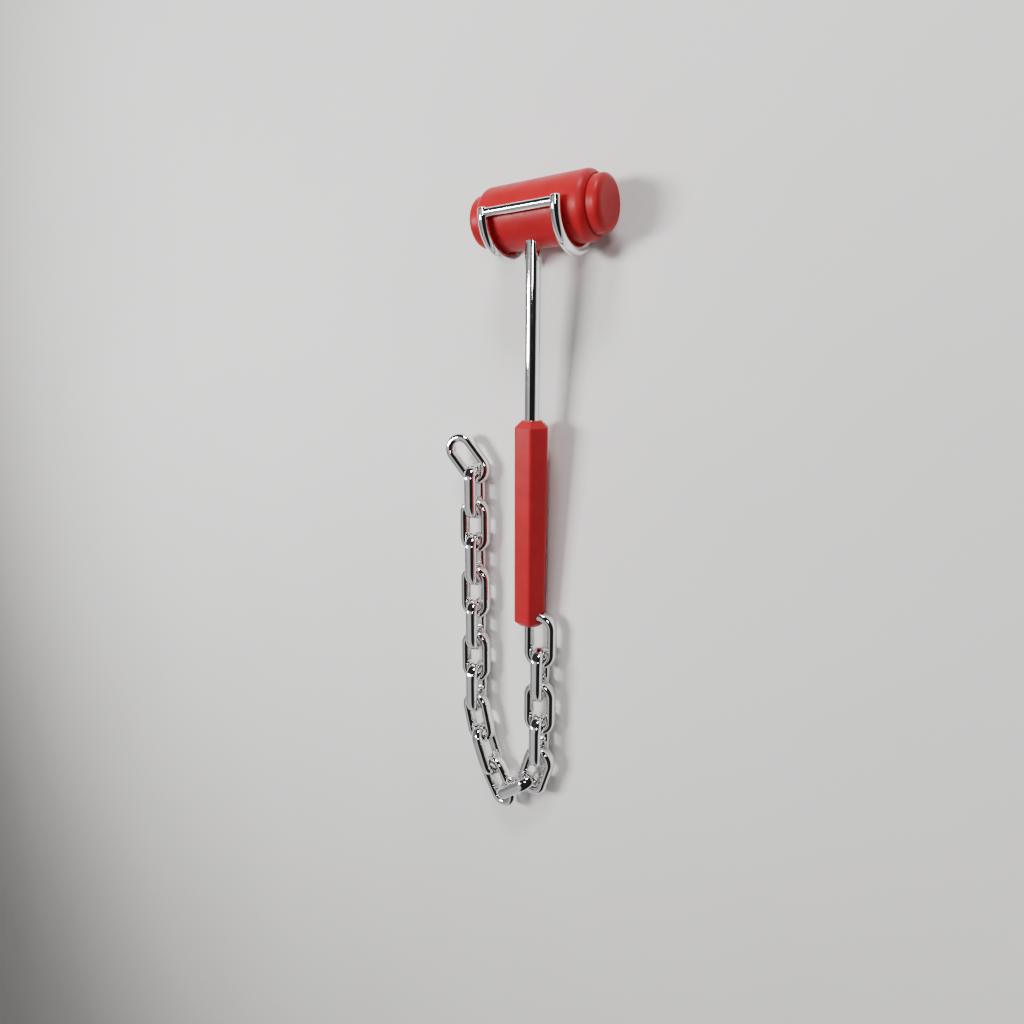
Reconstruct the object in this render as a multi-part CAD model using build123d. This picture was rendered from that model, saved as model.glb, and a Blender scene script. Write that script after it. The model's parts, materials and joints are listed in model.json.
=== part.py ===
from build123d import *
import math
import os

# Reflex hammer: a rubber head held in a chromed wire cradle, a round shaft, a hexagonal grip
# and a wrist chain of seventeen links. It lies on its back on a flat surface at Z = 0, the head
# along X, the shaft running towards +Y, and the chain laid in a J beside the grip.
# The hammer itself is drawn in its own frame, whose origin is the centre of the grip's lower end,
# with Y along the shaft and Z square to the chain's side, and is then leaned back to lie down.

# Driving dimensions, millimetres and degrees
HEAD_RADIUS = 12.0
HEAD_BODY_LENGTH = 48.4
HEAD_SHOULDER = 3.6  # rounding of the body's ends
HEAD_LENGTH = 57.6  # from striking face to striking face
HEAD_BEHIND = 3.5  # how far the head's axis lies behind the shaft's
HEAD_SHIFT = 1.5  # how far the rubber's middle stands off the shaft's axis, along the head
STRIKER_RADIUS = 9.8
STRIKER_EDGE = 2.4
STRIKER_SEAT = 0.9  # depth of the recess that each striker stands in
STRIKER_SEAT_GAP = 0.35
STEM_RADIUS = 3.5
STEM_LENGTH = 6.0
BARB_RADIUS = 4.3
BARB_LENGTH = 2.0
CORE_RADIUS = 5.0
CORE_LENGTH = 18.0
CORE_SOCKET = 2.5  # how far the shaft passes the core's axis

WIRE_DIAMETER = 4.1  # the cradle's hoops
BAR_DIAMETER = 3.2
WIRE_GAP = 0.02
HOOP_OFFSET = 16.0  # each hoop's distance from the shaft's axis
HOOP_TIP = 1.9  # straight wire past the bars' centre lines
HOOP_TIP_EDGE = 0.9

SHAFT_DIAMETER = 6.4
GRIP_TO_HEAD = 170.5  # from the grip's lower end to the head's axis
GRIP_LENGTH = 92.4
GRIP_ACROSS_FLATS = 13.6
GRIP_END_CHAMFER = 2.8
GRIP_EDGE_RADIUS = 1.7
TANG_LENGTH = 35.0  # shaft inside the grip

LINK_LENGTH = 26.2
LINK_WIDTH = 14.8
LINK_WIRE_DEPTH = 4.1  # across the wire, in the link's own plane
LINK_WIRE_THICKNESS = 5.5  # across the wire, square to that plane
LINK_WIRE_CORNER = 2.0
LINK_PITCH = 16.3
LINK_TWIST = 12.0  # how far the links lean over from flat or upright
LINK_TWIST_STEP = 4.0  # change from one link to the next where the lean changes sides
FIRST_LINK = (6.7, -5.7)  # its centre beside the grip's lower end
# Each link's bearing along the chain, from +X towards +Y: down, round the bend and up again
LINK_BEARINGS = [273, 273, 273, 273, 255, 221, 125, 115, 107, 93, 93, 93, 93, 93, 93, 93, 93]
BEND_LINK = 6  # the middle of the bend, counted from 0
END_LINK_TURN = 40.0  # the last link is turned this far about the one before it

PORT_CLEARANCE = 0.3  # round the first link's wire, in the grip

# Worked out from the above
STRIKER_PROUD = (HEAD_LENGTH - HEAD_BODY_LENGTH) / 2
HOOP_RADIUS = HEAD_RADIUS + WIRE_GAP + WIRE_DIAMETER / 2
HOOP_OUTSIDE = HOOP_RADIUS + WIRE_DIAMETER / 2
LINK_BOW = (LINK_WIDTH - LINK_WIRE_DEPTH) / 2
LINK_STRAIGHT = LINK_LENGTH - LINK_WIDTH
BOW_TO_CENTRE = LINK_STRAIGHT / 2 + LINK_BOW  # from a link's centre to its bow's wire
WINDOW_TO_CENTRE = LINK_PITCH - BOW_TO_CENTRE  # from its centre to the next link's wire


def lean_angle():
    """The angle at which the hoops and the grip's lower edge both touch the surface, in radians."""
    along = GRIP_TO_HEAD - GRIP_END_CHAMFER
    drop = GRIP_ACROSS_FLATS / 2 - HEAD_BEHIND
    return math.asin(HOOP_OUTSIDE / math.hypot(along, drop)) - math.atan2(drop, along)


LEAN = lean_angle()
GRIP_HEIGHT = GRIP_ACROSS_FLATS / 2 * math.cos(LEAN) - GRIP_END_CHAMFER * math.sin(LEAN)
LYING = Location((0, 0, GRIP_HEIGHT), (math.degrees(LEAN), 0, 0))
HEAD_PLACE = Location((0, GRIP_TO_HEAD, -HEAD_BEHIND))


def link_height():
    """Height of the chain's centre line, with the upright links resting on the surface."""
    twist = math.radians(LINK_TWIST)
    reach = (LINK_WIDTH / 2 - LINK_WIRE_CORNER) * math.cos(twist)
    reach += (LINK_WIRE_THICKNESS / 2 - LINK_WIRE_CORNER) * math.sin(twist)
    return reach + LINK_WIRE_CORNER


def rod_x(radius, length, x=0.0, z=0.0):
    """A round bar along X, centred at x."""
    return Location((x, 0, z), (0, 90, 0)) * Cylinder(radius, length)


def rod_y(radius, start, end):
    """A round bar along Y from start to end, on the shaft's axis."""
    return Location((0, (start + end) / 2, 0), (90, 0, 0)) * Cylinder(radius, end - start)


# Head


def striker(side):
    """The rubber striking end on one side (+1 or -1), with the barbed stem that holds it."""
    foot = HEAD_BODY_LENGTH / 2 - STRIKER_SEAT
    length = STRIKER_PROUD + STRIKER_SEAT
    button = rod_x(STRIKER_RADIUS, length, foot + length / 2)
    button = fillet(button.edges().filter_by(GeomType.CIRCLE).sort_by(Axis.X)[-1], STRIKER_EDGE)
    stem = rod_x(STEM_RADIUS, STEM_LENGTH, foot - STEM_LENGTH / 2)
    barb = rod_x(BARB_RADIUS, BARB_LENGTH, foot - STEM_LENGTH + BARB_LENGTH / 2)
    whole = button + stem + barb
    if side < 0:
        whole = mirror(whole, Plane.YZ)
    return Location((HEAD_SHIFT, 0, 0)) * whole


def head_core():
    """The steel bush inside the rubber, on the shaft's axis, with the socket for the shaft."""
    bush = rod_x(CORE_RADIUS, CORE_LENGTH, 0, HEAD_BEHIND)
    return bush - shaft_in_head(SHAFT_DIAMETER / 2)


def shaft_in_head(radius):
    """The length of shaft that lies inside the head, in the head's frame."""
    return Location((0, 0, HEAD_BEHIND)) * rod_y(radius, -HEAD_RADIUS, CORE_SOCKET)


def head_body():
    body = rod_x(HEAD_RADIUS, HEAD_BODY_LENGTH, HEAD_SHIFT)
    body = fillet(body.edges().filter_by(GeomType.CIRCLE), HEAD_SHOULDER)
    seat_x = (HEAD_BODY_LENGTH - STRIKER_SEAT) / 2
    for side in (-1, 1):
        seat = rod_x(STRIKER_RADIUS + STRIKER_SEAT_GAP, STRIKER_SEAT, HEAD_SHIFT + side * seat_x)
        body -= seat
        body -= striker(side)
    body -= rod_x(CORE_RADIUS, CORE_LENGTH, 0, HEAD_BEHIND)
    return body - shaft_in_head(SHAFT_DIAMETER / 2)


# Cradle


def cradle_hoop(side):
    """A wire bent half round under the head, its two ends cut off just past the bars."""
    wire = WIRE_DIAMETER / 2
    bend = revolve(
        Plane((0, 0, HOOP_RADIUS), x_dir=(0, 0, 1), z_dir=(0, -1, 0)) * Circle(wire),
        axis=Axis((0, 0, 0), (1, 0, 0)),
        revolution_arc=180,
    )
    tip = rod_y(wire, 0, HOOP_TIP)
    tip = fillet(tip.edges().filter_by(GeomType.CIRCLE).sort_by(Axis.Y)[-1], HOOP_TIP_EDGE)
    hoop = bend
    for end in (-1, 1):
        hoop += Location((0, 0, end * HOOP_RADIUS)) * tip
    return Location((side * HOOP_OFFSET, 0, 0)) * hoop


def cradle_bar(end):
    """A straight wire between the two hoops, its ends shaped to their wire and brazed there."""
    bar = rod_x(BAR_DIAMETER / 2, 2 * HOOP_OFFSET, 0, end * HOOP_RADIUS)
    return bar - cradle_hoop(1) - cradle_hoop(-1)


# Shaft and grip


def shaft():
    return rod_y(SHAFT_DIAMETER / 2, GRIP_LENGTH - TANG_LENGTH, GRIP_TO_HEAD + CORE_SOCKET)


def grip():
    """The hexagonal grip, flats facing up and down, with the shaft's bore in its upper end."""
    hexagon = RegularPolygon(GRIP_ACROSS_FLATS / math.sqrt(3), 6)
    bar = extrude(Plane((0, 0, 0), x_dir=(1, 0, 0), z_dir=(0, 1, 0)) * hexagon, GRIP_LENGTH)
    ends = bar.faces().sort_by(Axis.Y)
    bar = chamfer(ends[0].edges() + ends[-1].edges(), GRIP_END_CHAMFER)
    bar = fillet(bar.edges().filter_by(Axis.Y), GRIP_EDGE_RADIUS)
    return bar - rod_y(SHAFT_DIAMETER / 2, GRIP_LENGTH - TANG_LENGTH, GRIP_LENGTH)


# Chain


def wire_section(y=0.0, grow=0.0):
    """The flattened wire, cut square across one leg of a link at the given place along it."""
    section = RectangleRounded(
        LINK_WIRE_DEPTH + 2 * grow, LINK_WIRE_THICKNESS + 2 * grow, LINK_WIRE_CORNER + grow
    )
    return Plane((LINK_BOW, y, 0), x_dir=(1, 0, 0), z_dir=(0, 1, 0)) * section


def link_shape():
    """A link along Y, lying in the XY plane: two straight legs joined by two half-round bows."""
    leg = extrude(wire_section(), LINK_STRAIGHT / 2, both=True)
    bow_axis = Axis((0, LINK_STRAIGHT / 2, 0), (0, 0, 1))
    bow = revolve(wire_section(LINK_STRAIGHT / 2), axis=bow_axis, revolution_arc=180)
    half = leg + bow
    return half + Rot(0, 0, 180) * half


def bearing_vector(degrees):
    return Vector(math.cos(math.radians(degrees)), math.sin(math.radians(degrees)), 0)


def link_twist(index):
    """A link's lean from flat or upright: none in the bend, and to opposite sides beyond it."""
    beyond_bend = max(0, abs(index - BEND_LINK) - 1)
    return math.copysign(min(LINK_TWIST, beyond_bend * LINK_TWIST_STEP), index - BEND_LINK)


def link_planes():
    """Each link's own plane: X across the link, Y along the chain, Z square to the link."""
    planes = []
    up = Vector(0, 0, 1)
    for index, bearing in enumerate(LINK_BEARINGS):
        along = bearing_vector(bearing)
        lean = math.radians(link_twist(index))
        sideways = up.cross(along) * math.cos(lean) + up * math.sin(lean)
        if index == len(LINK_BEARINGS) - 1:
            turning_axis = Axis((0, 0, 0), planes[-1].x_dir)
            along = along.rotate(turning_axis, END_LINK_TURN)
            sideways = sideways.rotate(turning_axis, END_LINK_TURN)
        upright = index % 2
        step = along * (BOW_TO_CENTRE if upright else WINDOW_TO_CENTRE)
        centre = meeting + step if planes else Vector(*FIRST_LINK, link_height())
        meeting = centre + step  # inside the end bow, where the next link crosses
        if upright:
            planes.append(Plane(centre, x_dir=along.cross(sideways), z_dir=sideways))
        else:
            planes.append(Plane(centre, x_dir=sideways, z_dir=sideways.cross(along)))
    return planes


def link_port(planes):
    """The ring-shaped channel, cut into the grip's lower end, that the first link's bow turns in."""
    ring = revolve(wire_section(grow=PORT_CLEARANCE), axis=Axis.Z)
    return planes[0].location * Location((0, -LINK_STRAIGHT / 2, 0)) * ring


def build():
    """Every piece by its node name, lying on the surface, before the origin is set."""
    planes = link_planes()
    head = LYING * HEAD_PLACE
    parts = {
        "head_body": head * head_body(),
        "head_core": head * head_core(),
        "striker_right": head * striker(1),
        "striker_left": head * striker(-1),
        "cradle_hoop_right": head * cradle_hoop(1),
        "cradle_hoop_left": head * cradle_hoop(-1),
        "cradle_bar_front": head * cradle_bar(1),
        "cradle_bar_rear": head * cradle_bar(-1),
        "shaft": LYING * shaft(),
        "grip": LYING * grip() - link_port(planes),
    }
    link = link_shape()
    for number, plane in enumerate(planes, start=1):
        parts[f"chain_link_{number:02d}"] = plane.location * link
    return parts


def origin_shift(parts):
    """The move that puts the origin under the middle of the whole part's box."""
    box = Compound(children=[Part() + shape for shape in parts.values()]).bounding_box()
    return Location((-box.center().X, -box.center().Y, -box.min.Z))


def main():
    os.makedirs("parts", exist_ok=True)
    parts = build()
    shift = origin_shift(parts)
    for node, shape in parts.items():
        export_step(shift * shape, f"parts/{node}.step")


if __name__ == "__main__":
    main()
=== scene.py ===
import json
import math

import bpy
from mathutils import Matrix, Vector

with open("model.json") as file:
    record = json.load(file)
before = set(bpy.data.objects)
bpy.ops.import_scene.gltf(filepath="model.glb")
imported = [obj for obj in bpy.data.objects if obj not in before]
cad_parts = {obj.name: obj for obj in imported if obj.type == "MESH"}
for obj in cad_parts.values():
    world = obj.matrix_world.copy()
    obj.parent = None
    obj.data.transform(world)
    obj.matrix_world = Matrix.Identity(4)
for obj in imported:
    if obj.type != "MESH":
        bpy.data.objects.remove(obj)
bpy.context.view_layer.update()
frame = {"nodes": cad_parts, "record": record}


# Node helpers


def new_material(name):
    """A node material and its Principled shader, with nothing else in it."""
    material = bpy.data.materials.new(name)
    material.use_nodes = True
    nodes, links = material.node_tree.nodes, material.node_tree.links
    nodes.clear()
    output = nodes.new("ShaderNodeOutputMaterial")
    shader = nodes.new("ShaderNodeBsdfPrincipled")
    links.new(shader.outputs["BSDF"], output.inputs["Surface"])
    return material, nodes, links, shader


def object_coords(nodes):
    return nodes.new("ShaderNodeTexCoord").outputs["Object"]


def noise(nodes, links, vector, scale, detail):
    texture = nodes.new("ShaderNodeTexNoise")
    texture.inputs["Scale"].default_value = scale
    texture.inputs["Detail"].default_value = detail
    texture.inputs["Roughness"].default_value = 0.55
    links.new(vector, texture.inputs["Vector"])
    return texture.outputs["Fac"]


def remap(nodes, links, value, low, high, out_low, out_high):
    """Stretches value from low..high to out_low..out_high."""
    node = nodes.new("ShaderNodeMapRange")
    for name, number in (
        ("From Min", low), ("From Max", high), ("To Min", out_low), ("To Max", out_high)
    ):
        node.inputs[name].default_value = number
    links.new(value, node.inputs["Value"])
    return node.outputs["Result"]


def mix_colour(nodes, links, factor, first, second):
    """Goes from the first colour to the second as the factor goes from 0 to 1."""
    node = nodes.new("ShaderNodeMix")
    node.data_type = "RGBA"
    links.new(factor, node.inputs["Factor"])
    for socket, colour in ((node.inputs[6], first), (node.inputs[7], second)):
        socket.default_value = (*colour, 1.0)
    return node.outputs[2]


def combine(nodes, links, operation, first, second):
    node = nodes.new("ShaderNodeMath")
    node.operation = operation
    links.new(first, node.inputs[0])
    links.new(second, node.inputs[1])
    return node.outputs[0]


def bump(nodes, links, height, distance, strength):
    node = nodes.new("ShaderNodeBump")
    node.inputs["Strength"].default_value = strength
    node.inputs["Distance"].default_value = distance
    links.new(height, node.inputs["Height"])
    return node.outputs["Normal"]


# Materials


def rubber(name, colour, dark, rough_low, rough_high):
    material, nodes, links, shader = new_material(name)
    at = object_coords(nodes)
    cloud = noise(nodes, links, at, scale=90.0, detail=5.0)
    tone = remap(nodes, links, cloud, 0.35, 0.65, 0.0, 1.0)
    links.new(mix_colour(nodes, links, tone, dark, colour), shader.inputs["Base Color"])
    smear = noise(nodes, links, at, scale=220.0, detail=3.0)
    rough = remap(nodes, links, smear, 0.35, 0.68, rough_low, rough_high)
    links.new(rough, shader.inputs["Roughness"])
    grain = noise(nodes, links, at, scale=5200.0, detail=2.0)
    normal = bump(nodes, links, grain, distance=0.00001, strength=0.35)
    links.new(normal, shader.inputs["Normal"])
    shader.inputs["Specular IOR Level"].default_value = 0.16
    return material


def chrome(name):
    material, nodes, links, shader = new_material(name)
    at = object_coords(nodes)
    cloud = noise(nodes, links, at, scale=160.0, detail=4.0)
    tone = remap(nodes, links, cloud, 0.35, 0.65, 0.0, 1.0)
    colour = mix_colour(nodes, links, tone, (0.84, 0.83, 0.83), (0.92, 0.91, 0.91))
    links.new(colour, shader.inputs["Base Color"])
    shader.inputs["Metallic"].default_value = 1.0
    smear = noise(nodes, links, at, scale=420.0, detail=4.0)
    rough = remap(nodes, links, smear, 0.4, 0.7, 0.03, 0.09)
    links.new(rough, shader.inputs["Roughness"])
    grain = noise(nodes, links, at, scale=1500.0, detail=3.0)
    normal = bump(nodes, links, grain, distance=0.00002, strength=0.12)
    links.new(normal, shader.inputs["Normal"])
    return material


MATERIALS = {
    "head_rubber": rubber("head_rubber", (0.41, 0.011, 0.017), (0.35, 0.009, 0.014), 0.34, 0.46),
    "grip_red": rubber("grip_red", (0.41, 0.014, 0.020), (0.35, 0.012, 0.017), 0.38, 0.50),
    "chrome": chrome("chrome"),
    "core_steel": chrome("core_steel"),
}


def paint_nodes():
    """Gives each CAD piece the material of its slot."""
    for part in frame["record"]["subparts"]:
        piece = frame["nodes"][part["node"]]
        piece.data.materials.clear()
        piece.data.materials.append(MATERIALS[part["material_slot"]])


# Floor, light and camera


def make_floor():
    mesh = bpy.data.meshes.new("floor")
    half = 3.0
    corners = [(-half, -half, 0), (half, -half, 0), (half, half, 0), (-half, half, 0)]
    mesh.from_pydata(corners, [], [(0, 1, 2, 3)])
    floor = bpy.data.objects.new("floor", mesh)
    bpy.context.scene.collection.objects.link(floor)
    material, nodes, links, shader = new_material("floor")
    at = object_coords(nodes)
    cloud = noise(nodes, links, at, scale=6.0, detail=3.0)
    tone = remap(nodes, links, cloud, 0.3, 0.7, 0.0, 1.0)
    colour = mix_colour(nodes, links, tone, (0.74, 0.72, 0.705), (0.78, 0.76, 0.745))
    links.new(colour, shader.inputs["Base Color"])
    shader.inputs["Roughness"].default_value = 0.7
    mesh.materials.append(material)


def area_light(name, position, target, size, power):
    data = bpy.data.lights.new(name, "AREA")
    data.shape = "RECTANGLE"
    data.size, data.size_y = size
    data.energy = power
    light = bpy.data.objects.new(name, data)
    bpy.context.scene.collection.objects.link(light)
    light.location = position
    aim = (Vector(target) - Vector(position)).to_track_quat("-Z", "Y")
    light.rotation_euler = aim.to_euler()


CAMERA_PLACE = Vector((0.13956, 0.06029, 0.21392))
CAMERA_FORWARD = Vector((-0.5556, -0.2028, -0.8064))
CAMERA_UP = Vector((-0.1520, 0.9783, -0.1413))
LENS_MM = 20.0
SENSOR_MM = 36.0


def make_camera():
    data = bpy.data.cameras.new("camera")
    data.lens = LENS_MM
    data.sensor_width = SENSOR_MM
    data.clip_start = 0.01
    camera = bpy.data.objects.new("camera", data)
    bpy.context.scene.collection.objects.link(camera)
    right = CAMERA_FORWARD.cross(CAMERA_UP).normalized()
    up = right.cross(CAMERA_FORWARD).normalized()
    turn = Matrix((right, up, -CAMERA_FORWARD.normalized())).transposed()
    camera.matrix_world = Matrix.Translation(CAMERA_PLACE) @ turn.to_4x4()
    bpy.context.scene.camera = camera


def make_world():
    """A pale studio that is dark overhead, to the right and beyond the head.

    Each band fades from one brightness to another along one axis of the direction
    looked in.
    """
    world = bpy.data.worlds.new("studio")
    bpy.context.scene.world = world
    world.use_nodes = True
    nodes, links = world.node_tree.nodes, world.node_tree.links
    coords = nodes.new("ShaderNodeTexCoord")
    axes = nodes.new("ShaderNodeSeparateXYZ")
    links.new(coords.outputs["Generated"], axes.inputs["Vector"])
    low = remap(nodes, links, axes.outputs["Z"], 0.08, 0.22, 0.55, 0.015)
    left = remap(nodes, links, axes.outputs["X"], -0.12, 0.04, 1.0, 0.0)
    far_left = remap(nodes, links, axes.outputs["X"], -0.70, -0.30, 0.24, 0.60)
    near = remap(nodes, links, axes.outputs["Y"], 0.22, 0.40, 1.0, 0.06)
    side = combine(nodes, links, "MULTIPLY", left, far_left)
    high = combine(nodes, links, "MULTIPLY", side, near)
    light = combine(nodes, links, "MAXIMUM", low, high)
    links.new(light, nodes["Background"].inputs["Color"])
    nodes["Background"].inputs["Strength"].default_value = 1.0


def make_lights():
    shaft_middle = (0.0, 0.08, 0.02)
    right_striker = (0.03, 0.13, 0.03)
    area_light("key", (-0.42, 0.08, 0.72), shaft_middle, size=(0.14, 0.32), power=9.0)
    area_light("top", (0.10, 0.95, 0.50), shaft_middle, size=(0.3, 0.2), power=9.0)
    area_light("window", (0.38, 0.20, 0.73), right_striker, size=(0.14, 0.11), power=1.2)


paint_nodes()
make_floor()
make_world()
make_lights()
make_camera()
